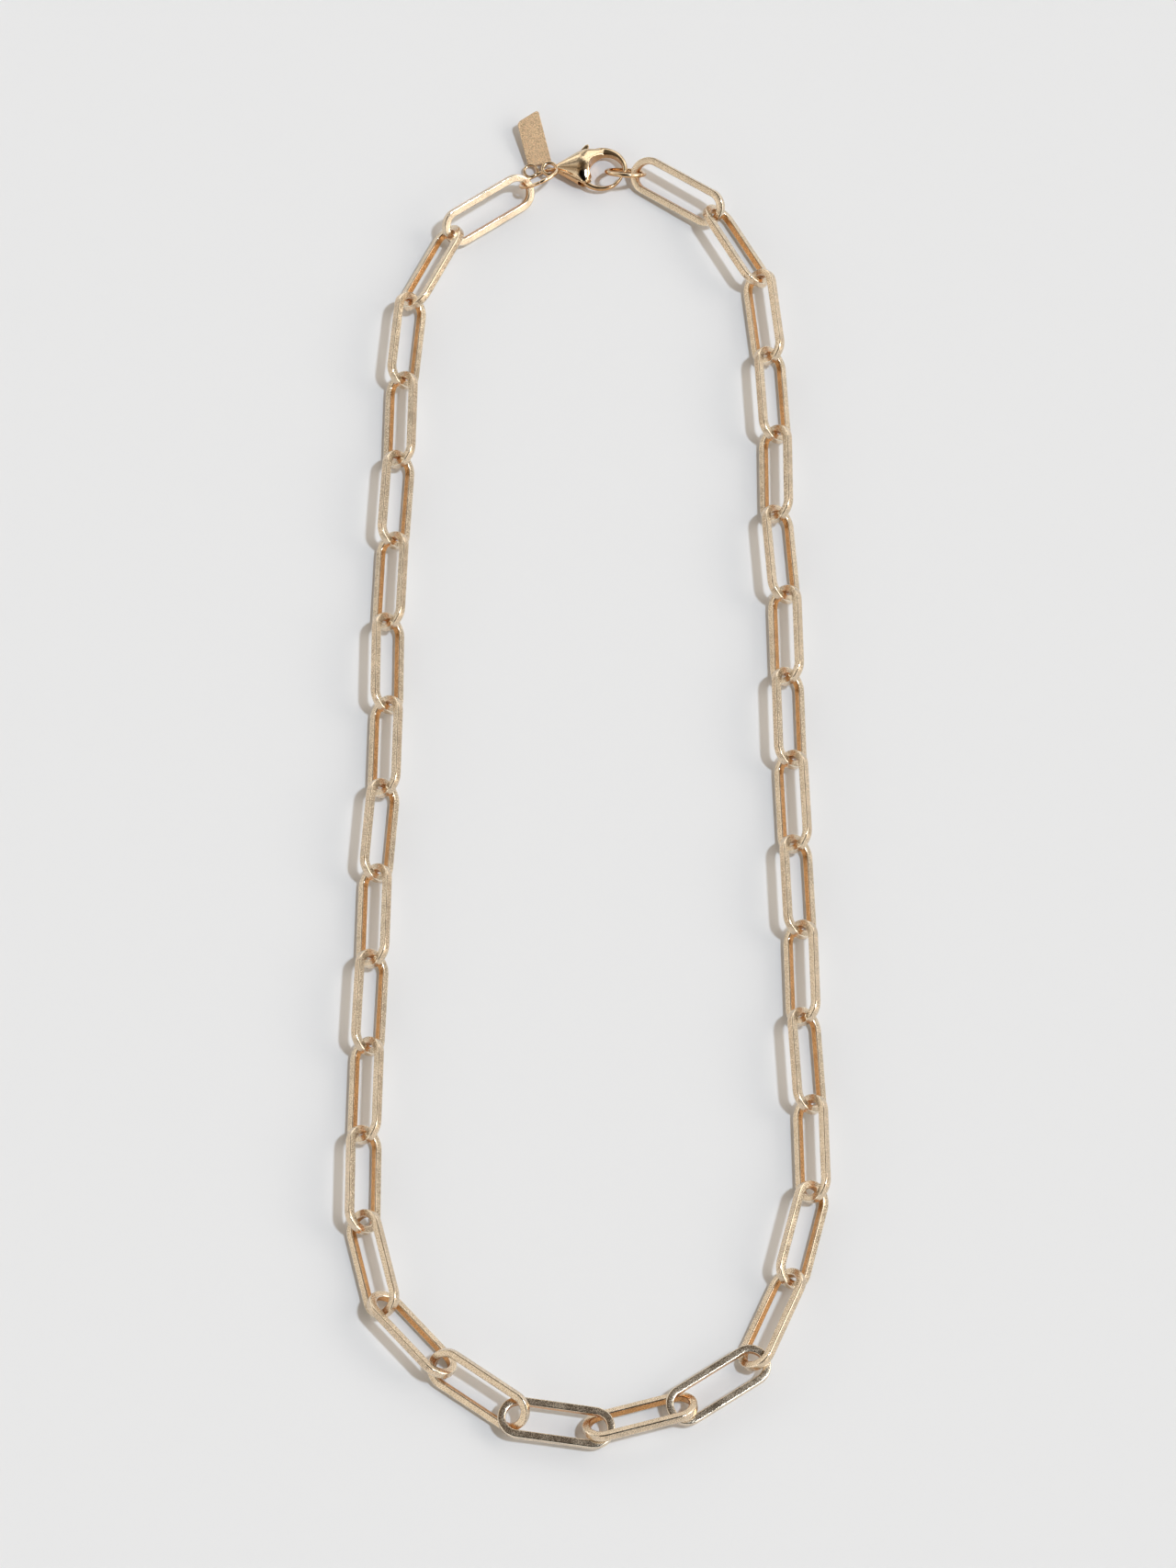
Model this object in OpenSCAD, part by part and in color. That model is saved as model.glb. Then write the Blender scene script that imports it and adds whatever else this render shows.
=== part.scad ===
// Paperclip chain necklace lying in a closed loop: 34 long links of square-edged wire,
// a lobster clasp with a sprung lever, a jump ring, and a ring with a small bare tag.
// Millimetres, +Z up, the loop lies on the ground plane, clasp end towards +Y.

/* [Links] */
// Length of one link over its outer ends
link_length = 15.6; // [15:0.1:16.2]
// Width of one link over its outer sides
link_width = 5.6; // [5.5:0.05:5.8]
// Side of the square wire
wire_side = 1.05; // [0.9:0.01:1.06]
// Rounding of the four wire edges
wire_edge = 0.18; // [0.12:0.01:0.25]

/* [Layout] */
// Where the curve centre of the first link's free end lies, left to right
start_x = -10.5; // [-10.55:0.01:-10.45]
// Where the curve centre of the first link's free end lies, near to far
start_y = 90.06; // [90.02:0.01:90.12]

/* [Clasp] */
// Middle of the clasp opening, left to right
clasp_x = 2.65; // [2.6:0.01:2.7]
// Middle of the clasp opening, near to far
clasp_y = 94.61; // [94.56:0.01:94.66]
// Height of the clasp's middle plane
clasp_z = 1.3; // [1.3:0.01:1.33]
// Radius of the opening in the claw
opening_r = 2.5; // [2.4:0.05:2.55]
// Outer radius of the claw
claw_r = 3.7; // [3.6:0.05:3.8]
// Thickness of the hook arm
hook_t = 1; // [0.9:0.05:1.1]
// Thickness of the lever plate
lever_t = 0.7; // [0.6:0.05:0.75]
// Free space above and below the lever plate
lever_gap = 0.1; // [0.08:0.01:0.15]
// Radius of the lever pin
pin_r = 0.28; // [0.2:0.01:0.3]
// Free space round the lever pin
pin_gap = 0.05; // [0.04:0.01:0.08]

/* [Rings] */
// Outer diameter of the jump ring in the claw
hook_ring_d = 6.2; // [6.15:0.05:6.25]
// Wire thickness of the jump ring in the claw
hook_ring_wire = 0.66; // [0.6:0.01:0.68]
// Outer diameter of the tag's ring
tag_ring_d = 6.3; // [6.25:0.05:6.35]
// Wire thickness of the tag's ring
tag_ring_wire = 0.56; // [0.5:0.01:0.58]

/* [Tag] */
// Thickness of the end tag
tag_t = 0.4; // [0.3:0.05:0.45]
// Rise of the tag from the ring to its free end, in degrees
tag_rise = 9; // [6:0.5:12]

/* [Hidden] */
$fn = 32;
gold = [0.80, 0.64, 0.42];
bright = [0.86, 0.70, 0.47];

// One row per link in order round the loop. Heading of the long axis seen from above,
// roll about the long axis, slack of the joint that follows, turn of that joint
// against the mean heading, height above lying, rise of the leading end.
// Angles in degrees, lengths in mm.
LAYOUT = [
    [216, -44, 0.05, 0, 0, 2],
    [244, 42, 0.1, 0, 0, 0],
    [265, -46, -0.15, 0, 0, 0],
    [269, 42, -0.12, 0, 0, 0],
    [267, -46, -0.12, 0, 0, 0],
    [268, 42, -0.08, 0, 0, 0],
    [270, -46, 0, 0, 0, 0],
    [269, 42, 0, 0, 0, 0],
    [266, -46, 0, 0, 0, 0],
    [269, 42, 0, 0, 0, 0],
    [268, -46, 0, 0, 0, 0],
    [269, 42, 0, 0, 0, 0],
    [270, -42, 0.8, 0, 0, 0],
    [284, 40, 1.4, 0, 0, 0],
    [312, -38, 1.2, 0, 0, 0],
    [325, 39, 1.5, -17, 0, 0],
    [352, 4, 1.8, 9, 1.2, -1],
    [15, -33, 1.7, -7, 0, 0],
    [33, 5, 0.9, 14, 1.1, 1],
    [66, -38, 0.3, 0, 0, 0],
    [75.5, 42, 0.4, 0, 0, 0],
    [91, -43, 0.1, 0, 0, 0],
    [93, 43, -0.05, 0, 0, 0],
    [91, -43, 0, 0, 0, 0],
    [92, 43, 0, 0, 0, 0],
    [92, -43, 0, 0, 0, 0],
    [91, 43, 0, 0, 0, 0],
    [91, -43, 0, 0, 0, 0],
    [94, 43, 0, 0, 0, 0],
    [90, -43, 0, 0, 0, 0],
    [93, 43, 0, 0, 0, 0],
    [96, -43, 0.2, 0, 0, 0],
    [119, 42, 0.2, 0, 0, 0],
    [146, -38, 0, 0, 0, -2]
];

// Straight length between the two end curves, free play and length of a taut joint
rod = link_length - link_width;
joint_play = 0.4;
joint_span = link_length - 2 * wire_side - joint_play - rod;
bend_r = (link_width - wire_side) / 2;
core = wire_side - 2 * wire_edge;

// Derived positions of every link
function heading(i) = LAYOUT[i][0];
function turn(a, b) = (b - a + 540) % 360 - 180;
function joint_heading(i) =
    heading(i) + turn(heading(i), heading(i + 1)) / 2 + LAYOUT[i][3];
function dir(a) = [cos(a), sin(a)];
function joint_step(i) = dir(joint_heading(i)) * (joint_span - LAYOUT[i][2]);
function link_start(i) =
    i == 0 ? [start_x, start_y]
    : link_start(i - 1) + dir(heading(i - 1)) * rod + joint_step(i - 1);
function lying_z(roll) =
    (link_width / 2 - wire_edge) * abs(sin(roll)) + core / 2 * cos(roll) + wire_edge;
function link_z(i) =
    lying_z(LAYOUT[i][1]) + LAYOUT[i][4]
    + (LAYOUT[i][4] == 0 ? rod / 2 * abs(sin(LAYOUT[i][5])) : 0);
function link_mid(i) = link_start(i) + dir(heading(i)) * rod / 2;

// Clasp details, measured from the middle of its opening
claw_mid = [-0.55, 0.25];
hook_start_x = -1.5;
hook_end_y = -0.4;
gate_end_y = -0.85;
eye_at = [-8.3, 0.35];
eye_r = 1;
eye_wire = 0.24;
neck_at = [-6.7, 0.4, 0.85];
shoulder_far = [-2.85, 2.5, 1.15];
shoulder_near = [-3.25, -1.45, 1.15];
shoulder_arm = [-0.7, 3.1, 0.62];
crown_at = [-3.5, 0.5, 0.2];
crown_size = [2.0, 2.7, 1.5];
pivot = [-3.2, -1.5];
pin_length = 2.1;
hub_r = 0.72;
slot_t = lever_t + 2 * lever_gap;
gate_mid = [-0.83, 0.14];
gate_r = 3.5;
gate_hollow_mid = [-0.6, 0.02];
gate_hollow_r = 2.88;
gate_reach = 5.65;
thick = 6;
reach = 8;
slot_corners = [
    [-4.1, -4.5], [-4.1, -1.7], [-5.9, 4.2], [-5.9, 6],
    [-2.4, 6], [-2.4, 0.9], [0, 0.9], [0, -4.5]
];
trigger_corners = [
    [-3.7, -1.4], [-3.7, 3.5], [-3.1, 4.3], [-2.65, 4.5],
    [-2.5, 4.2], [-2.65, 3.4], [-2.65, -1.2]
];
gate_start_x = -3.85;

// Ring placements: x, y, z of the middle, tilt out of the level plane, heading
tag_ring_at = [-7.19, 92.57, 2.43, -48, 32];
hook_ring_at = [5.48, 93.53, 2.45, -49.4, -4.8];

// Tag placement: where its bail is soldered to its ring, and its parts measured from there
tag_at = [-8.7, 94.11, 0.4];
tag_corners = [[-1.3, 8.5], [1.1, 10.1], [2.9, 2.5], [0.2, 2.2]];
tag_bail_at = [0.3, 0.95];
tag_bail_r = 0.95;
tag_bail_wire = 0.42;
tag_round = 0.4;

function link_name(i) = str("link_", i < 9 ? "0" : "", i + 1);
last = len(LAYOUT) - 1;
LINKS = [for (i = [0:last]) link_name(i)];

module wire_section() {
    square([wire_side, core], center = true);
    square([core, wire_side], center = true);
    for (x = [-1, 1])
        for (y = [-1, 1])
            translate([x * core / 2, y * core / 2])
                circle(r = wire_edge);
}

module link_end() {
    rotate([0, 0, -90])
        rotate_extrude(angle = 180, $fn = 48)
            translate([bend_r, 0])
                wire_section();
}

module link_bar() {
    rotate([90, 0, 90])
        linear_extrude(height = rod, center = true)
            wire_section();
}

module link_solid() {
    translate([0, bend_r, 0]) link_bar();
    translate([0, -bend_r, 0]) link_bar();
    translate([rod / 2, 0, 0]) link_end();
    translate([-rod / 2, 0, 0]) rotate([0, 0, 180]) link_end();
}

module link(i) {
    c = link_mid(i);
    color(gold)
        translate([c[0], c[1], link_z(i)])
            rotate([LAYOUT[i][1], -LAYOUT[i][5], heading(i)])
                link_solid();
}

module clasp_frame() {
    translate([clasp_x, clasp_y, clasp_z]) children();
}

module ball(at) {
    translate([at[0], at[1], 0]) sphere(r = at[2]);
}

module claw_disc() {
    translate([claw_mid[0], claw_mid[1], 0]) {
        cylinder(r = claw_r - hook_t / 2, h = hook_t, center = true, $fn = 96);
        rotate_extrude($fn = 96)
            translate([claw_r - hook_t / 2, 0])
                circle(d = hook_t);
    }
}

module hook_arm() {
    intersection() {
        claw_disc();
        translate([hook_start_x, hook_end_y, -thick / 2]) cube([reach, reach, thick]);
    }
}

module crown() {
    translate(crown_at) scale(crown_size) sphere(r = 1, $fn = 40);
}

module belly() {
    hull() {
        crown();
        ball(neck_at);
        ball(shoulder_far);
        ball(shoulder_near);
        ball(shoulder_arm);
    }
}

module lever_slot() {
    linear_extrude(height = slot_t, center = true)
        polygon(slot_corners);
}

module eye() {
    translate([eye_at[0], eye_at[1], 0])
        rotate_extrude($fn = 48)
            translate([eye_r, 0])
                circle(r = eye_wire);
}

module clasp_body() {
    color(bright)
        clasp_frame() {
            difference() {
                union() {
                    belly();
                    hook_arm();
                }
                cylinder(r = opening_r, h = thick, center = true, $fn = 96);
                lever_slot();
                translate([eye_at[0], eye_at[1], 0])
                    cylinder(r = eye_r, h = thick, center = true, $fn = 48);
            }
            eye();
            translate([pivot[0], pivot[1], 0])
                cylinder(r = pin_r, h = pin_length, center = true);
        }
}

module gate_outline() {
    intersection() {
        difference() {
            translate(gate_mid) circle(r = gate_r, $fn = 96);
            translate(gate_hollow_mid) circle(r = gate_hollow_r, $fn = 96);
        }
        translate([gate_start_x, gate_end_y - reach]) square(reach);
        translate(pivot) circle(r = gate_reach, $fn = 96);
    }
}

module trigger_outline() {
    polygon(trigger_corners);
}

module lever_plate() {
    linear_extrude(height = lever_t, center = true) children();
}

module clasp_lever() {
    color(bright)
        clasp_frame()
            difference() {
                union() {
                    lever_plate() gate_outline();
                    lever_plate() trigger_outline();
                    translate([pivot[0], pivot[1], 0])
                        cylinder(r = hub_r, h = lever_t, center = true);
                }
                translate([pivot[0], pivot[1], 0])
                    cylinder(r = pin_r + pin_gap, h = thick, center = true);
            }
}

module jump_ring(at, outer, wire) {
    translate([at[0], at[1], at[2]])
        rotate([at[3], 0, at[4]])
            rotate_extrude($fn = 64)
                translate([(outer - wire) / 2, 0])
                    circle(d = wire, $fn = 24);
}

module hook_ring() {
    color(bright) jump_ring(hook_ring_at, hook_ring_d, hook_ring_wire);
}

module edge_bar(a, b) {
    run = b - a;
    translate(a)
        rotate([0, 0, atan2(run[1], run[0])])
            translate([0, -tag_round])
                square([norm(run), 2 * tag_round]);
}

module tag_outline() {
    polygon(tag_corners);
    corners = len(tag_corners);
    for (k = [0:corners - 1]) {
        translate(tag_corners[k]) circle(r = tag_round);
        edge_bar(tag_corners[k], tag_corners[(k + 1) % corners]);
    }
}

module tag_bail() {
    translate([tag_bail_at[0], tag_bail_at[1], 0])
        rotate_extrude($fn = 48)
            translate([tag_bail_r, 0])
                circle(d = tag_bail_wire, $fn = 24);
}

module tag_plate() {
    translate(tag_at)
        rotate([tag_rise, 0, 0]) {
            linear_extrude(height = tag_t, center = true)
                tag_outline();
            tag_bail();
        }
}

module tag_ring() {
    color(bright) jump_ring(tag_ring_at, tag_ring_d, tag_ring_wire);
    color(gold) tag_plate();
}

for (i = [0:last])
    link(i);
clasp_body();
clasp_lever();
hook_ring();
tag_ring();
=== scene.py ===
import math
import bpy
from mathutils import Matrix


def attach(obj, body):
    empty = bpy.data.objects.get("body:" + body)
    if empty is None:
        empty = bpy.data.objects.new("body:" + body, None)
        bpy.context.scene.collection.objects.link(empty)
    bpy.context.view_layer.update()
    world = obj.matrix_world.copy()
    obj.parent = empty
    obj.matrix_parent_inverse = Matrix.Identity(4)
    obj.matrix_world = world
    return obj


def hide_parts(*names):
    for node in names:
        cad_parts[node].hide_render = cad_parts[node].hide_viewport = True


bl_info = {
    "name": "Paperclip chain necklace",
    "version": (1, 0, 0),
    "blender": (4, 5, 0),
    "location": "3D View > Sidebar > Necklace",
    "description": "Dresses a laid-out paperclip chain necklace with its finished pieces",
    "category": "Object",
}

import bpy
import numpy as np
from mathutils import Matrix, Vector

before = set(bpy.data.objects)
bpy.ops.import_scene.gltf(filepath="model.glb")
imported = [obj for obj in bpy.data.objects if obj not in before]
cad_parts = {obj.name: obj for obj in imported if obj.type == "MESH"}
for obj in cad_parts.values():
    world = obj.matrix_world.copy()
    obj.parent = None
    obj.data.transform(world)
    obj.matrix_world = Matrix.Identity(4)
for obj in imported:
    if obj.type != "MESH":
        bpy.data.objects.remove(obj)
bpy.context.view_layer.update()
LINKS = sorted(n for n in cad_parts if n.startswith("link_"))
MM = 0.001

# A Mix node's sockets: its share, then the first and second input and the result of each kind
MIX_SHARE = 0
MIX_VALUES = (2, 3, 0)
MIX_COLOURS = (6, 7, 2)
# A Math node's sockets when it multiplies and adds
MULTIPLIER = 1
ADDEND = 2

# How near two points of a mesh lie, in millimetres, when they are joined
JOIN_SWEEP = 0.002
JOIN_CAD = 0.001
JOIN_RING = 0.0005


def start_fresh():
    """Leaves edit mode and deselects everything, so an operator acts on its own piece alone."""
    if bpy.context.mode != "OBJECT":
        bpy.ops.object.mode_set(mode="OBJECT")
    bpy.ops.object.select_all(action="DESELECT")


def pick(piece):
    """Makes one piece the only selected and active one."""
    start_fresh()
    piece.select_set(True)
    bpy.context.view_layer.objects.active = piece


def settle(piece, scale=1.0):
    """Puts the piece's place, turn and size into its mesh."""
    pick(piece)
    piece.scale = [s * scale for s in piece.scale]
    bpy.ops.object.transform_apply(location=True, rotation=True, scale=True)


def edit_all():
    """Goes into edit mode with the whole mesh selected."""
    bpy.ops.object.mode_set(mode="EDIT")
    bpy.ops.mesh.select_all(action="SELECT")


def tidy_mesh(threshold):
    """Joins doubled points and turns every face outwards."""
    edit_all()
    bpy.ops.mesh.remove_doubles(threshold=threshold)
    bpy.ops.mesh.normals_make_consistent(inside=False)
    bpy.ops.object.mode_set(mode="OBJECT")


def drop_caps():
    """Deletes the section faces that a sweep leaves inside, which have more than four corners."""
    bpy.ops.object.mode_set(mode="EDIT")
    bpy.ops.mesh.select_mode(type="FACE")
    bpy.ops.mesh.select_all(action="DESELECT")
    bpy.ops.object.mode_set(mode="OBJECT")
    for polygon in bpy.context.object.data.polygons:
        polygon.select = len(polygon.vertices) > 4
    bpy.ops.object.mode_set(mode="EDIT")
    bpy.ops.mesh.delete(type="ONLY_FACE")
    bpy.ops.mesh.select_mode(type="VERT")
    bpy.ops.object.mode_set(mode="OBJECT")


def apply_modifier(piece, kind, **values):
    """Adds a modifier with the given values and makes it part of the mesh."""
    modifier = piece.modifiers.new(kind.title(), kind)
    for name, value in values.items():
        setattr(modifier, name, value)
    pick(piece)
    if bpy.ops.object.modifier_apply(modifier=modifier.name) != {"FINISHED"}:
        raise RuntimeError(f"the {kind} modifier of {piece.name} could not be applied")


def finish_piece(piece, name, body, nodes, slot, material):
    """Names a piece, gives it its finish, and says what carries it and which solids it replaces."""
    if not piece.data.polygons:
        raise RuntimeError(f"{name} came out without faces")
    # Polished pieces get a painted shade on their sides that face sideways or down.
    if slot == "polished_gold":
        mark_low_side_shade(piece.data)
    piece.name = name
    piece.data.name = name
    piece.data.materials.clear()
    piece.data.materials.append(material)
    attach(piece, body)
    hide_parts(*nodes)


def lie_of(node):
    """Where a link lies: its middle and its long, wide and thin axes, measured from its surface.

    The axes are those of the surface's second moments, and each triangle adds a twelfth of these sums.
    """
    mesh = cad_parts[node].data
    mesh.calc_loop_triangles()
    points = np.array([v.co for v in mesh.vertices])
    corners = points[np.array([t.vertices[:] for t in mesh.loop_triangles])]
    normal = np.cross(corners[:, 1] - corners[:, 0], corners[:, 2] - corners[:, 0])
    area = np.linalg.norm(normal, axis=1) / 2
    middle = (corners.mean(1) * area[:, None]).sum(0) / area.sum()
    corners = corners - middle
    total = corners.sum(1)
    spread = (np.einsum("t,tki,tkj->ij", area, corners, corners)
              + np.einsum("t,ti,tj->ij", area, total, total)) / 12
    axes = np.linalg.eigh(spread)[1][:, ::-1]
    long, wide = Vector(axes[:, 0]), Vector(axes[:, 1])
    if abs(long.y) > abs(long.x) and long.y < 0 or abs(long.x) >= abs(long.y) and long.x < 0:
        long = -long
    thin = long.cross(wide)
    if thin.z < 0:
        wide, thin = -wide, -thin
    lie = Matrix((long, wide, thin)).transposed().to_4x4()
    lie.translation = Vector(middle)
    return lie


def socket(tree, kind, name, direction="INPUT", default=None):
    """Adds a named input or output to a node group."""
    made = tree.interface.new_socket(name=name, in_out=direction, socket_type=kind)
    if default is not None:
        made.default_value = default
    return made


def feed(links, source, into):
    """Links a socket to an input, or sets the input where the source is a plain value."""
    if isinstance(source, bpy.types.NodeSocket):
        links.new(source, into)
    else:
        into.default_value = source


# The grain's darkest and lightest noise levels
GRAIN_CONTRAST = (0.36, 0.64)


def fine_grain_group():
    """A shared effect: fine cloudy grain in two sizes, as a mask round 0.5."""
    if "fine_grain" in bpy.data.node_groups:
        return bpy.data.node_groups["fine_grain"]
    tree = bpy.data.node_groups.new("fine_grain", "ShaderNodeTree")
    socket(tree, "NodeSocketFloat", "Fine Scale", default=9000.0)
    socket(tree, "NodeSocketFloat", "Broad Scale", default=600.0)
    socket(tree, "NodeSocketFloat", "Broad Share", default=0.4)
    socket(tree, "NodeSocketFloat", "Mask", "OUTPUT")
    nodes, links = tree.nodes, tree.links
    into, out = nodes.new("NodeGroupInput"), nodes.new("NodeGroupOutput")
    place = nodes.new("ShaderNodeTexCoord")
    fine, broad = nodes.new("ShaderNodeTexNoise"), nodes.new("ShaderNodeTexNoise")
    fine.inputs["Detail"].default_value = 3.0
    broad.inputs["Detail"].default_value = 2.0
    mix = nodes.new("ShaderNodeMix")
    first, second, result = MIX_VALUES
    links.new(place.outputs["Object"], fine.inputs["Vector"])
    links.new(place.outputs["Object"], broad.inputs["Vector"])
    links.new(into.outputs["Fine Scale"], fine.inputs["Scale"])
    links.new(into.outputs["Broad Scale"], broad.inputs["Scale"])
    links.new(into.outputs["Broad Share"], mix.inputs[MIX_SHARE])
    links.new(fine.outputs["Fac"], mix.inputs[first])
    links.new(broad.outputs["Fac"], mix.inputs[second])
    spread = nodes.new("ShaderNodeMapRange")
    spread.inputs["From Min"].default_value = GRAIN_CONTRAST[0]
    spread.inputs["From Max"].default_value = GRAIN_CONTRAST[1]
    links.new(mix.outputs[result], spread.inputs["Value"])
    links.new(spread.outputs["Result"], out.inputs["Mask"])
    return tree


# How far the grain darkens a finish, how far it roughens it, and how far below its value it starts
CLOUD_SHARE = 0.36
ROUGH_SPREAD = 0.14
ROUGH_BELOW = 0.06


def blend_over(material, tone, attribute, other):
    """Blends another colour over the tone where the attribute is 1, and gives the tone and the mask."""
    nodes, links = material.node_tree.nodes, material.node_tree.links
    first, second, result = MIX_COLOURS
    mask = nodes.new("ShaderNodeAttribute")
    mask.attribute_name = attribute
    blend = nodes.new("ShaderNodeMix")
    blend.data_type = "RGBA"
    blend.inputs[second].default_value = (*other, 1)
    links.new(mask.outputs["Fac"], blend.inputs[MIX_SHARE])
    feed(links, tone, blend.inputs[first])
    return blend.outputs[result], mask.outputs["Fac"]


def gold(name, tint, rough, grain, bump, edge_highlight_tint=None, edge_rough=0.1, wall_shade_tint=None):
    """A gold finish with fine grain, with a painted shade on its side walls and a painted highlight on its
    polished edges if they have tints.

    The bump is a strength and a depth in millimetres.
    """
    material = bpy.data.materials.new(name)
    material.use_nodes = True
    nodes, links = material.node_tree.nodes, material.node_tree.links
    shader = nodes["Principled BSDF"]
    shader.inputs["Metallic"].default_value = 1.0
    group = nodes.new("ShaderNodeGroup")
    group.node_tree = fine_grain_group()
    for key, value in grain.items():
        group.inputs[key].default_value = value
    tone = (*tint, 1)
    base = rough - ROUGH_BELOW
    # Painted shade: the darker wall shade tint is blended in where the walls are marked.
    if wall_shade_tint is not None:
        tone, _ = blend_over(material, tone, "painted_wall_shade", wall_shade_tint)
    # Painted highlight: the polished edges get the lighter edge tint, as well as a lower roughness.
    if edge_highlight_tint is not None:
        tone, polish_and_highlight = blend_over(material, tone, "edge_polish_and_highlight", edge_highlight_tint)
        shine = nodes.new("ShaderNodeMapRange")
        shine.inputs["To Min"].default_value = base
        shine.inputs["To Max"].default_value = edge_rough - ROUGH_BELOW
        links.new(polish_and_highlight, shine.inputs["Value"])
        base = shine.outputs["Result"]
    first, second, result = MIX_COLOURS
    cloud = nodes.new("ShaderNodeMix")
    cloud.data_type = "RGBA"
    cloud.blend_type = "MULTIPLY"
    cloud.inputs[MIX_SHARE].default_value = CLOUD_SHARE
    scatter = nodes.new("ShaderNodeMath")
    scatter.operation = "MULTIPLY_ADD"
    scatter.inputs[MULTIPLIER].default_value = ROUGH_SPREAD
    relief = nodes.new("ShaderNodeBump")
    strength, depth = bump
    relief.inputs["Strength"].default_value = strength
    relief.inputs["Distance"].default_value = depth * MM
    feed(links, tone, cloud.inputs[first])
    links.new(group.outputs["Mask"], cloud.inputs[second])
    links.new(cloud.outputs[result], shader.inputs["Base Color"])
    links.new(group.outputs["Mask"], scatter.inputs[0])
    feed(links, base, scatter.inputs[ADDEND])
    links.new(scatter.outputs[0], shader.inputs["Roughness"])
    links.new(group.outputs["Mask"], relief.inputs["Height"])
    links.new(relief.outputs["Normal"], shader.inputs["Normal"])
    return material


def in_mm(settings, *names):
    """The named lengths in millimetres, rounded because settings are kept in single precision."""
    return [round(getattr(settings, name) / MM, 6) for name in names]


class NecklaceLinkSettings(bpy.types.PropertyGroup):
    """Sizes and colours of the links"""

    length: bpy.props.FloatProperty(
        name="Length", description="Length of a link",
        unit="LENGTH", precision=5, default=15.6 * MM, min=5 * MM, max=40 * MM)
    width: bpy.props.FloatProperty(
        name="Width", description="Width of a link",
        unit="LENGTH", precision=5, default=5.6 * MM, min=2 * MM, max=20 * MM)
    wire: bpy.props.FloatProperty(
        name="Wire", description="Side of the square wire",
        unit="LENGTH", precision=5, default=1.05 * MM, min=0.3 * MM, max=4 * MM)
    rounding: bpy.props.FloatProperty(
        name="Rounding", description="Rounding of the wire's edges",
        unit="LENGTH", precision=5, default=0.18 * MM, min=0.02 * MM, max=1 * MM)
    corner_steps: bpy.props.IntProperty(
        name="Corner steps", description="Facets in each rounded edge",
        default=4, min=2, max=12)
    bend_steps: bpy.props.IntProperty(
        name="Bend steps", description="Sections in each half-round end",
        default=26, min=8, max=64)
    tint: bpy.props.FloatVectorProperty(
        name="Tint", description="Colour of the satin faces",
        subtype="COLOR", default=(0.94, 0.79, 0.60), min=0, max=1)
    # Painted highlight: a lighter cream painted on the polished edges.
    edge_highlight_tint: bpy.props.FloatVectorProperty(
        name="Edge tint", description="Colour of the polished edges",
        subtype="COLOR", default=(1.0, 0.90, 0.74), min=0, max=1)
    # Painted shade: a darker orange painted on the wire's side walls, standing in for shade and
    # gold-on-gold reflection.
    wall_shade_tint: bpy.props.FloatVectorProperty(
        name="Wall tint", description="Colour of the wire's side walls",
        subtype="COLOR", default=(0.78, 0.41, 0.17), min=0, max=1)


class NecklaceClaspSettings(bpy.types.PropertyGroup):
    """Sizes and colours of the clasp, its eye and the polished rings"""

    grid: bpy.props.FloatProperty(
        name="Grid", description="Spacing of the clasp's surface mesh",
        unit="LENGTH", precision=5, default=0.07 * MM, min=0.03 * MM, max=0.3 * MM)
    softening: bpy.props.IntProperty(
        name="Softening", description="How often the clasp's edges are eased",
        default=16, min=0, max=40)
    eye_outer: bpy.props.FloatProperty(
        name="Eye size", description="Outer diameter of the eye",
        unit="LENGTH", precision=5, default=2.54 * MM, min=1 * MM, max=6 * MM)
    eye_wire: bpy.props.FloatProperty(
        name="Eye wire", description="Thickness of the eye's wall",
        unit="LENGTH", precision=5, default=0.54 * MM, min=0.1 * MM, max=2 * MM)
    tint: bpy.props.FloatVectorProperty(
        name="Tint", description="Colour of the polished clasp and rings",
        subtype="COLOR", default=(0.98, 0.80, 0.56), min=0, max=1)
    # Painted shade: a darker orange painted on the clasp's and rings' sides that face sideways or down.
    wall_shade_tint: bpy.props.FloatVectorProperty(
        name="Wall tint", description="Colour of the clasp's and rings' lower sides",
        subtype="COLOR", default=(0.80, 0.45, 0.20), min=0, max=1)


class NecklaceRingSettings(bpy.types.PropertyGroup):
    """Sizes of the two jump rings"""

    hook_outer: bpy.props.FloatProperty(
        name="Claw ring size", description="Outer diameter of the ring in the claw",
        unit="LENGTH", precision=5, default=6.2 * MM, min=2 * MM, max=20 * MM)
    hook_wire: bpy.props.FloatProperty(
        name="Claw ring wire", description="Wire thickness of the ring in the claw",
        unit="LENGTH", precision=5, default=0.66 * MM, min=0.2 * MM, max=3 * MM)
    tag_outer: bpy.props.FloatProperty(
        name="Tag ring size", description="Outer diameter of the tag's ring",
        unit="LENGTH", precision=5, default=6.3 * MM, min=2 * MM, max=20 * MM)
    tag_wire: bpy.props.FloatProperty(
        name="Tag ring wire", description="Wire thickness of the tag's ring",
        unit="LENGTH", precision=5, default=0.56 * MM, min=0.2 * MM, max=3 * MM)
    cut: bpy.props.FloatProperty(
        name="Cut", description="Width of the cut where a ring closes",
        subtype="ANGLE", default=math.radians(1.2), min=math.radians(0.1), max=math.radians(20))


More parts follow.
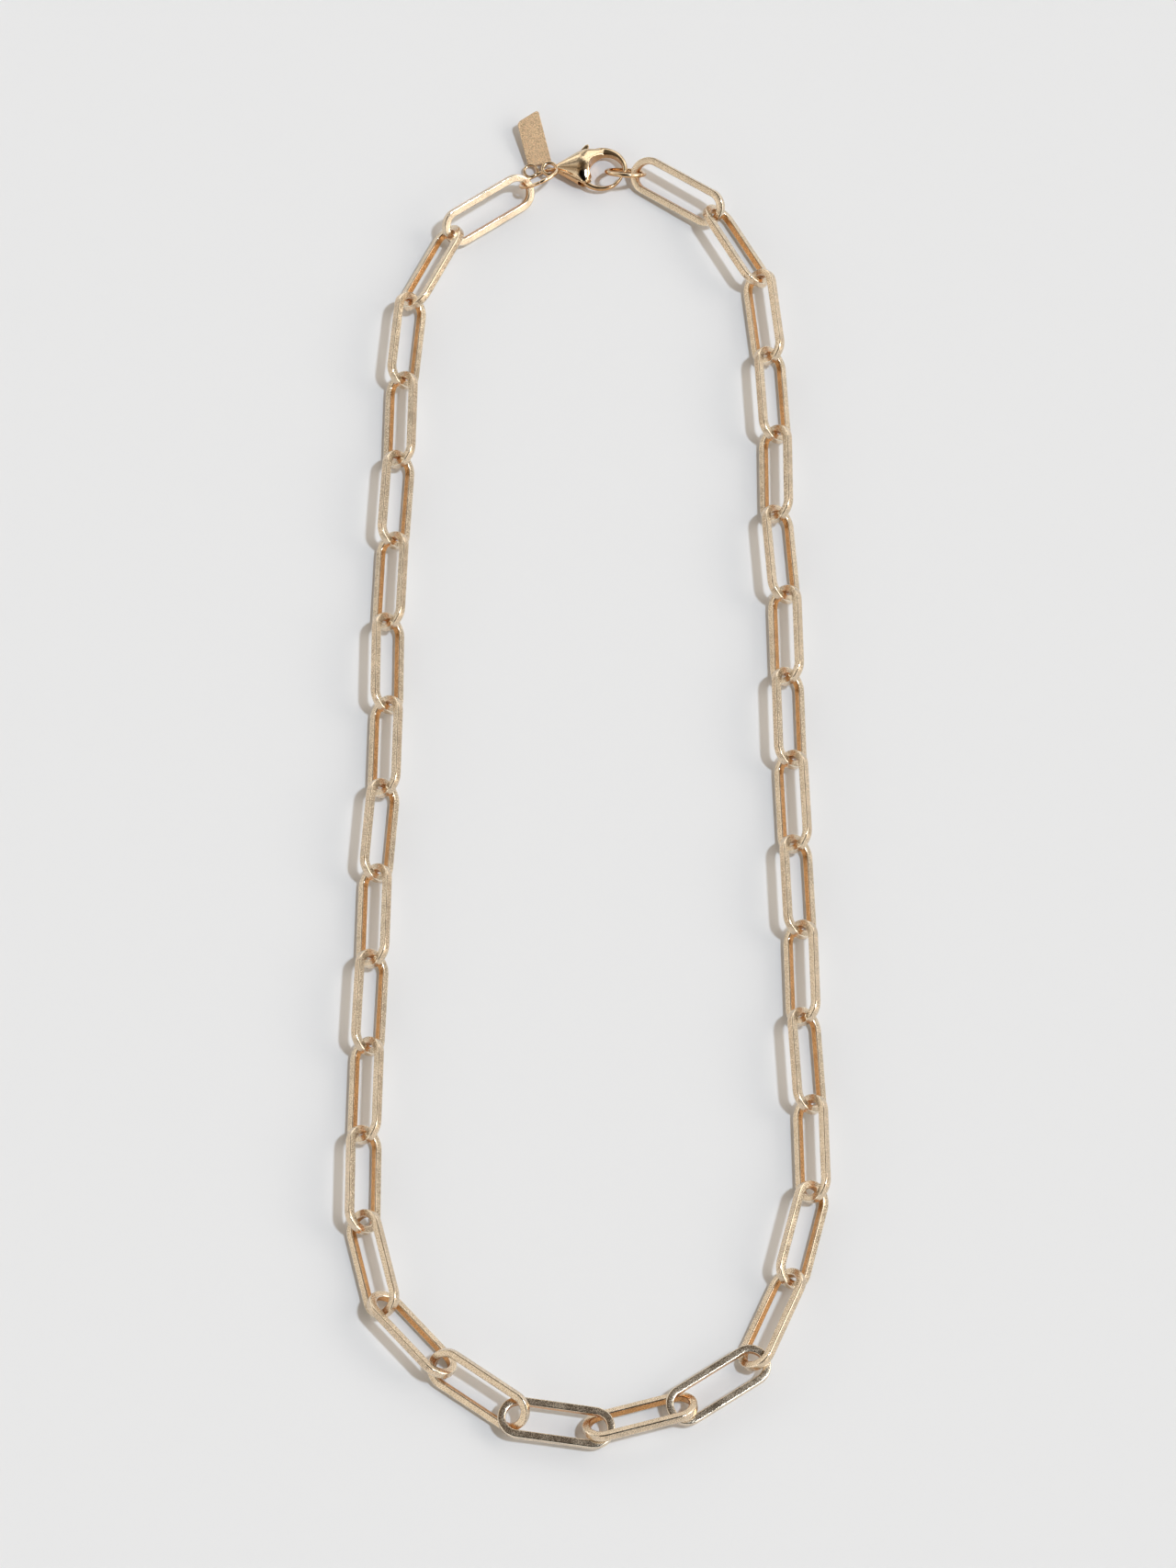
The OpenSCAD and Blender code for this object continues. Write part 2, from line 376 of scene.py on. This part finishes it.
class NecklaceTagSettings(bpy.types.PropertyGroup):
    """Sizes and colour of the end tag and its bail"""

    thickness: bpy.props.FloatProperty(
        name="Thickness", description="Thickness of the end tag",
        unit="LENGTH", precision=5, default=0.38 * MM, min=0.1 * MM, max=2 * MM)
    rise: bpy.props.FloatProperty(
        name="Rise", description="Slope of the tag",
        subtype="ANGLE", default=math.radians(9.0), min=math.radians(-45), max=math.radians(45))
    corner: bpy.props.FloatProperty(
        name="Corner", description="Easing of the tag's corners",
        unit="LENGTH", precision=5, default=0.57 * MM, min=0.05 * MM, max=2 * MM)
    bail_outer: bpy.props.FloatProperty(
        name="Bail size", description="Outer diameter of the tag's bail",
        unit="LENGTH", precision=5, default=2.32 * MM, min=1 * MM, max=6 * MM)
    bail_wire: bpy.props.FloatProperty(
        name="Bail wire", description="Wire thickness of the tag's bail",
        unit="LENGTH", precision=5, default=0.42 * MM, min=0.1 * MM, max=2 * MM)
    tint: bpy.props.FloatVectorProperty(
        name="Tint", description="Colour of the matte tag",
        subtype="COLOR", default=(0.94, 0.70, 0.46), min=0, max=1)


class NecklaceStageSettings(bpy.types.PropertyGroup):
    """Camera, floor and light"""

    elevation: bpy.props.FloatProperty(
        name="Elevation", description="Height angle of the camera",
        subtype="ANGLE", default=math.radians(63.1), min=math.radians(0), max=math.radians(90))
    aim: bpy.props.FloatProperty(
        name="Aim", description="Where the camera looks on the floor, measured from the middle",
        unit="LENGTH", precision=5, default=-5.69 * MM, min=-500 * MM, max=500 * MM)
    distance: bpy.props.FloatProperty(
        name="Distance", description="Camera distance",
        unit="LENGTH", precision=5, default=819.0 * MM, min=100 * MM, max=5000 * MM)
    focal_pixels: bpy.props.FloatProperty(
        name="Focal length", description="Focal length in pixels of the picture",
        subtype="PIXEL", default=6400.0, min=500, max=20000)
    floor_tone: bpy.props.FloatVectorProperty(
        name="Floor tone", description="Colour of the floor",
        subtype="COLOR", default=(0.80, 0.80, 0.80), min=0, max=1)
    key_power: bpy.props.FloatProperty(
        name="Key power", description="Strength of the key light",
        default=1.67, min=0, max=20)
    key_tint: bpy.props.FloatVectorProperty(
        name="Key tint", description="Colour of the key light",
        subtype="COLOR", default=(0.76, 0.87, 1.0), min=0, max=1)
    fill_power: bpy.props.FloatProperty(
        name="Fill power", description="Strength of the light from the room",
        default=1.08, min=0, max=20)
    fill_tint: bpy.props.FloatVectorProperty(
        name="Fill tint", description="Colour of the light from the room",
        subtype="COLOR", default=(1.0, 0.93, 0.84), min=0, max=1)
    right_share: bpy.props.FloatProperty(
        name="Right side", description="Brightness of the room's right side",
        default=1.2, min=0, max=10)
    left_share: bpy.props.FloatProperty(
        name="Left side", description="Brightness of the room's left side",
        default=0.85, min=0, max=10)
    softbox_share: bpy.props.FloatProperty(
        name="Softbox", description="Brightness of the softbox at the right against the room",
        default=2.6, min=0, max=20)
    viewer_share: bpy.props.FloatProperty(
        name="Viewer", description="Brightness of the dark spot where the viewer stands",
        subtype="FACTOR", default=0.02, min=0, max=1)
    clutter: bpy.props.FloatProperty(
        name="Clutter", description="Contrast of the bright and dark things in the room",
        subtype="FACTOR", default=0.6, min=0, max=1)
    clutter_scale: bpy.props.FloatProperty(
        name="Clutter size", description="Fineness of the bright and dark things in the room",
        default=2.6, min=0.1, max=20)
    clutter_shift: bpy.props.FloatProperty(
        name="Clutter shift", description="Picks another arrangement of the things in the room",
        default=6.8, min=-100, max=100)
    key_softness: bpy.props.FloatProperty(
        name="Key softness", description="Apparent size of the key light",
        subtype="ANGLE", default=math.radians(5.0), min=math.radians(0), max=math.radians(60))


def satin_gold():
    """The links' finish: satin faces, polished edges with a painted highlight, and walls in a painted warm
    shade.
    """
    settings = bpy.context.scene.necklace_links
    grain = {"Fine Scale": 6500.0, "Broad Scale": 500.0, "Broad Share": 0.3}
    return gold("finish_satin", settings.tint, rough=0.25, grain=grain, bump=(0.4, 0.014),
                edge_highlight_tint=settings.edge_highlight_tint, edge_rough=0.11, wall_shade_tint=settings.wall_shade_tint)


def polished_gold():
    """The finish that the clasp, its eye, the rings and the bail share."""
    if "finish_polished" in bpy.data.materials:
        return bpy.data.materials["finish_polished"]
    grain = {"Fine Scale": 5000.0, "Broad Scale": 300.0, "Broad Share": 0.5}
    settings = bpy.context.scene.necklace_clasp
    # Painted shade: the lower sides get the darker wall shade tint.
    return gold("finish_polished", settings.tint, rough=0.1, grain=grain, bump=(0.1, 0.004),
                wall_shade_tint=settings.wall_shade_tint)


def matte_tag_gold():
    """The end tag's matte, finely grained finish."""
    grain = {"Fine Scale": 4600.0, "Broad Scale": 1200.0, "Broad Share": 0.2}
    tint = bpy.context.scene.necklace_tag.tint
    return gold("finish_matte", tint, rough=0.42, grain=grain, bump=(1.0, 0.16))


# The part of the rounding over which the polished edge and its painted highlight come in, and how much of
# the painted wall shade the outer walls get
POLISH_AND_HIGHLIGHT_WIDTH = 0.35
OUTER_WALL_SHADE = 0.12


def mark_wire_sides(mesh, rod, bend, half, rounding):
    """Stores where the wire's rounded edges and its side walls are: the edges get a polished finish with a
    painted highlight, the walls a painted shade.
    """
    edge = mesh.attributes.new("edge_polish_and_highlight", "FLOAT", "POINT")
    wall = mesh.attributes.new("painted_wall_shade", "FLOAT", "POINT")
    flat = half - rounding
    for index, vertex in enumerate(mesh.vertices):
        x, y, z = vertex.co
        outwards = math.hypot(max(abs(x) - rod / 2, 0), y) - bend
        across = abs(outwards)
        edge.data[index].value = min(max((min(across, abs(z)) - flat) / (POLISH_AND_HIGHLIGHT_WIDTH * rounding), 0), 1)
        side = min(max((across - flat) / rounding, 0), 1)
        # Painted shade: full on the inner walls, weaker on the outer ones.
        wall.data[index].value = side * (1.0 if outwards < 0 else OUTER_WALL_SHADE)


# The upward lean that counts as level, and the span below it over which the painted low shade comes in
LEVEL_ENOUGH = 0.85
LOW_FADE = 0.6


def mark_low_side_shade(mesh):
    """Stores which parts of a polished piece face sideways or down, where the room reaches least, for the
    painted shade there.
    """
    wall = mesh.attributes.new("painted_wall_shade", "FLOAT", "POINT")
    for vertex, value in zip(mesh.vertices, wall.data):
        value.value = min(max((LEVEL_ENOUGH - vertex.normal.z) / LOW_FADE, 0), 1)


# Sections along each straight bar of a link
BAR_STEPS = 8


def sweep_link(settings):
    """One link: a rounded square section swept round two half-round ends and along two bars."""
    length, width, wire, rounding = in_mm(settings, "length", "width", "wire", "rounding")
    rod = length - width
    bend = (width - wire) / 2
    start_fresh()
    bpy.ops.mesh.primitive_plane_add(size=wire, location=(rod / 2, bend, 0), rotation=(0, math.pi / 2, 0))
    master = bpy.context.object
    settle(master)
    edit_all()
    bpy.ops.mesh.bevel(offset=rounding, segments=settings.corner_steps, affect="VERTICES")
    for side in (1, -1):
        bpy.ops.mesh.spin(steps=settings.bend_steps, angle=math.pi,
                          center=(side * rod / 2, 0, 0), axis=(0, 0, 1))
        for _ in range(BAR_STEPS):
            bpy.ops.mesh.extrude_region_move(
                TRANSFORM_OT_translate={"value": (-side * rod / BAR_STEPS, 0, 0)})
    bpy.ops.object.mode_set(mode="OBJECT")
    drop_caps()
    tidy_mesh(JOIN_SWEEP)
    bpy.ops.object.shade_smooth()
    mark_wire_sides(master.data, rod, bend, wire / 2, rounding)
    settle(master, MM)
    return master


class NECKLACE_OT_links(bpy.types.Operator):
    """Makes every link of the chain from one swept link, each in its own place"""

    bl_idname = "necklace.links"
    bl_label = "Chain links"

    def execute(self, context):
        if not LINKS:
            raise RuntimeError("the frame has no links to dress")
        master = sweep_link(context.scene.necklace_links)
        finish = satin_gold()
        for node in LINKS:
            piece = master.copy()
            piece.data = master.data.copy()
            context.collection.objects.link(piece)
            piece.matrix_world = lie_of(node)
            settle(piece)
            apply_modifier(piece, "WEIGHTED_NORMAL", weight=100, keep_sharp=False)
            finish_piece(piece, "finished_" + node, "chain", [node], "satin_gold", finish)
        bpy.data.objects.remove(master)
        return {"FINISHED"}


def soften_cad_piece(node, settings, name, body):
    """A smooth copy of a CAD solid: meshed on a fine even grid and eased at its edges."""
    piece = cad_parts[node].copy()
    piece.data = piece.data.copy()
    for key in list(piece.keys()):
        del piece[key]
    piece.parent = None
    bpy.context.collection.objects.link(piece)
    settle(piece, 1 / MM)
    tidy_mesh(JOIN_CAD)
    apply_modifier(piece, "REMESH", mode="VOXEL", voxel_size=in_mm(settings, "grid")[0])
    apply_modifier(piece, "SMOOTH", factor=0.5, iterations=settings.softening)
    bpy.ops.object.shade_smooth()
    settle(piece, MM)
    finish_piece(piece, name, body, [node], "polished_gold", polished_gold())


# Facets round a round wire, and sections round a large and a small ring
WIRE_SIDES = 20
RING_STEPS = 110
SMALL_RING_STEPS = 48


def spin_ring(outer, wire, cut, steps):
    """A round-wire ring in the level plane, left open where it closes if cut isn't 0."""
    start_fresh()
    bpy.ops.mesh.primitive_circle_add(vertices=WIRE_SIDES, radius=wire / 2, fill_type="NGON",
                                      location=((outer - wire) / 2, 0, 0), rotation=(math.pi / 2, 0, 0))
    ring = bpy.context.object
    settle(ring)
    edit_all()
    bpy.ops.mesh.spin(steps=steps, angle=2 * math.pi - cut, center=(0, 0, 0), axis=(0, 0, 1))
    bpy.ops.object.mode_set(mode="OBJECT")
    if cut == 0:
        drop_caps()
    tidy_mesh(JOIN_RING)
    return ring


# The middle of the clasp's eye in millimetres
EYE_PLACE = (-5.65, 94.96, 1.3)


class NECKLACE_OT_clasp(bpy.types.Operator):
    """Makes the polished lobster clasp and its lever"""

    bl_idname = "necklace.clasp"
    bl_label = "Lobster clasp"

    def execute(self, context):
        settings = context.scene.necklace_clasp
        soften_cad_piece("clasp_body", settings, "finished_clasp_body", "chain")
        soften_cad_piece("clasp_lever", settings, "finished_clasp_lever", "lever")
        eye = spin_ring(*in_mm(settings, "eye_outer", "eye_wire"), 0, SMALL_RING_STEPS)
        bpy.ops.object.shade_smooth()
        eye.location = EYE_PLACE
        settle(eye)
        settle(eye, MM)
        finish_piece(eye, "finished_clasp_eye", "chain", ["clasp_body"], "polished_gold", polished_gold())
        return {"FINISHED"}


# Each ring's middle in millimetres, then its tilt, its heading and where its cut is, in degrees
RING_PLACES = {
    "hook_ring": ((5.48, 93.53, 2.45), -49.4, -4.8, 100),
    "tag_ring": ((-7.19, 92.57, 2.43), -48, 32, 250),
}
CUT_EASING = 0.03


class NECKLACE_OT_rings(bpy.types.Operator):
    """Makes the two round-wire jump rings, each with the fine cut where it closes"""

    bl_idname = "necklace.rings"
    bl_label = "Jump rings"

    def execute(self, context):
        settings = context.scene.necklace_rings
        sizes = {"hook_ring": in_mm(settings, "hook_outer", "hook_wire"),
                 "tag_ring": in_mm(settings, "tag_outer", "tag_wire")}
        for node, (place, tilt, heading, cut_at) in RING_PLACES.items():
            ring = spin_ring(*sizes[node], settings.cut, RING_STEPS)
            apply_modifier(ring, "BEVEL", width=CUT_EASING, segments=2,
                           limit_method="ANGLE", angle_limit=math.radians(60))
            bpy.ops.object.shade_smooth()
            ring.matrix_world = (Matrix.Translation(place) @ Matrix.Rotation(math.radians(heading), 4, "Z")
                                 @ Matrix.Rotation(math.radians(tilt), 4, "X")
                                 @ Matrix.Rotation(math.radians(cut_at), 4, "Z"))
            settle(ring)
            settle(ring, MM)
            finish_piece(ring, "finished_" + node, "chain", [node], "polished_gold", polished_gold())
        return {"FINISHED"}


# The tag's place in millimetres, with its corners and its bail measured from there
TAG_PLACE = (-8.70, 94.11, 0.4)
TAG_CORNERS = [(-1.3, 8.5), (1.1, 10.1), (2.9, 2.5), (0.2, 2.2)]
TAG_MARGIN = 0.39
TAG_CORNER_STEPS = 5
TAG_EDGE = 0.07
BAIL_PLACE = (0.3, 0.95, 0)


def grown(corners, margin):
    """The corners of the same outline with every side moved outwards by the margin."""
    moved = []
    for before, at, after in zip(corners[-1:] + corners[:-1], corners, corners[1:] + corners[:1]):
        into = (Vector(at) - Vector(before)).normalized()
        out = (Vector(after) - Vector(at)).normalized()
        sides = [Vector((-into.y, into.x)), Vector((-out.y, out.x))]
        half = (sides[0] + sides[1]).normalized()
        moved.append(Vector(at) + half * margin / half.dot(sides[0]))
    return moved


class NECKLACE_OT_tag(bpy.types.Operator):
    """Makes the small bare end tag with its eased edges, and the bail that holds it"""

    bl_idname = "necklace.tag"
    bl_label = "End tag and bail"

    def execute(self, context):
        settings = context.scene.necklace_tag
        thickness, corner_easing = in_mm(settings, "thickness", "corner")
        lie = Matrix.Translation(TAG_PLACE) @ Matrix.Rotation(settings.rise, 4, "X")
        start_fresh()
        bpy.ops.mesh.primitive_circle_add(vertices=len(TAG_CORNERS), radius=1, fill_type="NGON")
        tag = bpy.context.object
        for vertex, corner in zip(tag.data.vertices, grown(TAG_CORNERS, TAG_MARGIN)):
            vertex.co = (*corner, -thickness / 2)
        edit_all()
        bpy.ops.mesh.bevel(offset=corner_easing, segments=TAG_CORNER_STEPS, affect="VERTICES")
        bpy.ops.mesh.extrude_region_move(TRANSFORM_OT_translate={"value": (0, 0, thickness)})
        bpy.ops.object.mode_set(mode="OBJECT")
        tidy_mesh(JOIN_CAD)
        apply_modifier(tag, "BEVEL", width=TAG_EDGE, segments=3,
                       limit_method="ANGLE", angle_limit=math.radians(50))
        bpy.ops.object.shade_smooth()
        apply_modifier(tag, "WEIGHTED_NORMAL", weight=100, keep_sharp=False)
        bail = spin_ring(*in_mm(settings, "bail_outer", "bail_wire"), 0, SMALL_RING_STEPS)
        bpy.ops.object.shade_smooth()
        for piece, place in ((tag, lie), (bail, lie @ Matrix.Translation(BAIL_PLACE))):
            piece.matrix_world = place
            settle(piece)
            settle(piece, MM)
        finish_piece(tag, "finished_end_tag", "chain", ["tag_ring"], "tag_gold", matte_tag_gold())
        finish_piece(bail, "finished_tag_bail", "chain", ["tag_ring"], "polished_gold", polished_gold())
        return {"FINISHED"}


# Upwards from the horizon: the height, how bright the room is there, and how pale it is
ROOM_LEVELS = [
    (0.0, 0.55, 0.8), (0.12, 0.66, 1.0), (0.35, 0.92, 1.0), (0.55, 0.9, 1.0),
    (0.72, 0.55, 1.0), (0.86, 0.22, 0.3), (1.0, 0.13, 0.1),
]
ROOM_SHADE = (1.0, 0.66, 0.36)
# The parts of the direction over which each factor of the room comes in
SIDE_REACH = 0.9
SOFTBOX = (0.84, 0.0, 0.54)
SOFTBOX_EDGE = (0.93, 0.97)
VIEWER = (0.03, -0.52, 0.85)
VIEWER_EDGE = (0.8, 0.9)
CLUTTER_BAND = (0.4, 0.6)


def share(nodes, links, value, low, high, dim, full):
    """A smooth step from one factor to another as a part of the direction goes from low to high."""
    step = nodes.new("ShaderNodeMapRange")
    step.interpolation_type = "SMOOTHSTEP"
    for key, number in (("From Min", low), ("From Max", high), ("To Min", dim), ("To Max", full)):
        step.inputs[key].default_value = number
    links.new(value, step.inputs["Value"])
    return step.outputs["Result"]


def studio_world(settings):
    """A studio room: a bright band round it, brighter to the right, dark above and behind the camera."""
    world = bpy.data.worlds.new("studio")
    bpy.context.scene.world = world
    world.use_nodes = True
    nodes, links = world.node_tree.nodes, world.node_tree.links
    back = nodes["Background"]
    place = nodes.new("ShaderNodeTexCoord")
    split = nodes.new("ShaderNodeSeparateXYZ")
    ramp = nodes.new("ShaderNodeValToRGB")
    ramp.color_ramp.elements[0].position = 0.0
    ramp.color_ramp.elements[1].position = 1.0
    for position, _, _ in ROOM_LEVELS[1:-1]:
        ramp.color_ramp.elements.new(position)
    for element, (position, level, pale) in zip(ramp.color_ramp.elements, ROOM_LEVELS):
        element.position = position
        element.color = (*(level * (light * pale + dark * (1 - pale))
                           for light, dark in zip(settings.fill_tint, ROOM_SHADE)), 1)
    links.new(place.outputs["Generated"], split.inputs[0])
    links.new(split.outputs["Z"], ramp.inputs[0])
    factors = [share(nodes, links, split.outputs["X"], -SIDE_REACH, SIDE_REACH,
                     settings.left_share, settings.right_share)]
    for direction, edge, level in ((SOFTBOX, SOFTBOX_EDGE, settings.softbox_share),
                                   (VIEWER, VIEWER_EDGE, settings.viewer_share)):
        facing = nodes.new("ShaderNodeVectorMath")
        facing.operation = "DOT_PRODUCT"
        facing.inputs[1].default_value = direction
        links.new(place.outputs["Generated"], facing.inputs[0])
        factors.append(share(nodes, links, facing.outputs["Value"], *edge, 1.0, level))
    clutter = nodes.new("ShaderNodeTexNoise")
    clutter.inputs["Scale"].default_value = settings.clutter_scale
    clutter.inputs["Detail"].default_value = 1.0
    shifted = nodes.new("ShaderNodeVectorMath")
    shifted.operation = "ADD"
    shifted.inputs[1].default_value = (settings.clutter_shift, 0.0, 0.0)
    links.new(place.outputs["Generated"], shifted.inputs[0])
    links.new(shifted.outputs[0], clutter.inputs["Vector"])
    factors.append(share(nodes, links, clutter.outputs["Fac"], *CLUTTER_BAND,
                         1.0 - settings.clutter, 1.0 + settings.clutter))
    strength = factors[0]
    for factor in factors[1:]:
        product = nodes.new("ShaderNodeMath")
        product.operation = "MULTIPLY"
        links.new(strength, product.inputs[0])
        links.new(factor, product.inputs[1])
        strength = product.outputs[0]
    power = nodes.new("ShaderNodeMath")
    power.operation = "MULTIPLY"
    power.inputs[1].default_value = settings.fill_power
    links.new(strength, power.inputs[0])
    links.new(ramp.outputs["Color"], back.inputs["Color"])
    links.new(power.outputs[0], back.inputs["Strength"])


# The picture's height in pixels, the sensor in millimetres, and the floor in metres
PHOTO_HEIGHT = 1707
SENSOR_HEIGHT = 24
FLOOR_SIZE = 8
FLOOR_HEIGHT = -0.00002
CLIP_START = 0.01
KEY_FROM = (1.41, -0.37, 3.0)


class NECKLACE_OT_stage(bpy.types.Operator):
    """Sets up the camera, the pale floor and the soft studio light"""

    bl_idname = "necklace.stage"
    bl_label = "Stage and camera"

    def execute(self, context):
        settings = context.scene.necklace_stage
        context.scene.view_settings.view_transform = "Standard"
        start_fresh()
        rise = settings.elevation
        aim = Vector((0, settings.aim, 0))
        place = aim + Vector((0, -math.cos(rise), math.sin(rise))) * settings.distance
        bpy.ops.object.camera_add(location=place, rotation=(math.pi / 2 - rise, 0, 0))
        camera = bpy.context.object
        camera.data.sensor_fit = "VERTICAL"
        camera.data.sensor_height = SENSOR_HEIGHT
        camera.data.lens = SENSOR_HEIGHT * settings.focal_pixels / PHOTO_HEIGHT
        camera.data.clip_start = CLIP_START
        context.scene.camera = camera
        start_fresh()
        bpy.ops.mesh.primitive_grid_add(x_subdivisions=4, y_subdivisions=4, size=FLOOR_SIZE,
                                        location=(0, 0, FLOOR_HEIGHT))
        floor = bpy.context.object
        floor.name = "floor"
        paper = bpy.data.materials.new("pale_floor")
        paper.use_nodes = True
        shader = paper.node_tree.nodes["Principled BSDF"]
        shader.inputs["Base Color"].default_value = (*settings.floor_tone, 1)
        shader.inputs["Roughness"].default_value = 1.0
        shader.inputs["Specular IOR Level"].default_value = 0.0
        floor.data.materials.append(paper)
        start_fresh()
        bpy.ops.object.light_add(type="SUN", location=(0.5, -0.1, 1))
        key = bpy.context.object
        key.rotation_euler = Vector(KEY_FROM).to_track_quat("Z", "Y").to_euler()
        key.data.energy = settings.key_power
        key.data.color = settings.key_tint
        key.data.angle = settings.key_softness
        studio_world(settings)
        return {"FINISHED"}


class NECKLACE_PT_panel(bpy.types.Panel):
    """Lists the necklace's pieces"""

    bl_idname = "NECKLACE_PT_panel"
    bl_label = "Necklace"
    bl_space_type = "VIEW_3D"
    bl_region_type = "UI"
    bl_category = "Necklace"

    def draw(self, context):
        """Lists each operator above its own settings."""
        for name, operator in GROUPS:
            box = self.layout.box()
            box.operator("necklace." + operator)
            settings = getattr(context.scene, name)
            for key in settings.__annotations__:
                box.prop(settings, key)


GROUPS = [
    ("necklace_links", "links"),
    ("necklace_clasp", "clasp"),
    ("necklace_rings", "rings"),
    ("necklace_tag", "tag"),
    ("necklace_stage", "stage"),
]
SETTINGS = [NecklaceLinkSettings, NecklaceClaspSettings, NecklaceRingSettings,
            NecklaceTagSettings, NecklaceStageSettings]
CLASSES = SETTINGS + [NECKLACE_OT_links, NECKLACE_OT_clasp, NECKLACE_OT_rings,
                      NECKLACE_OT_tag, NECKLACE_OT_stage, NECKLACE_PT_panel]


def register():
    """Registers the classes and hangs each settings group on the scene."""
    for kind in CLASSES:
        bpy.utils.register_class(kind)
    for (name, _), kind in zip(GROUPS, SETTINGS):
        setattr(bpy.types.Scene, name, bpy.props.PointerProperty(type=kind))


def unregister():
    """Takes the settings and the classes away again."""
    for name, _ in GROUPS:
        delattr(bpy.types.Scene, name)
    for kind in reversed(CLASSES):
        bpy.utils.unregister_class(kind)


def main():
    """Builds every piece and the stage."""
    register()
    for _, operator in GROUPS:
        getattr(bpy.ops.necklace, operator)()


if __name__ == "__main__":
    main()
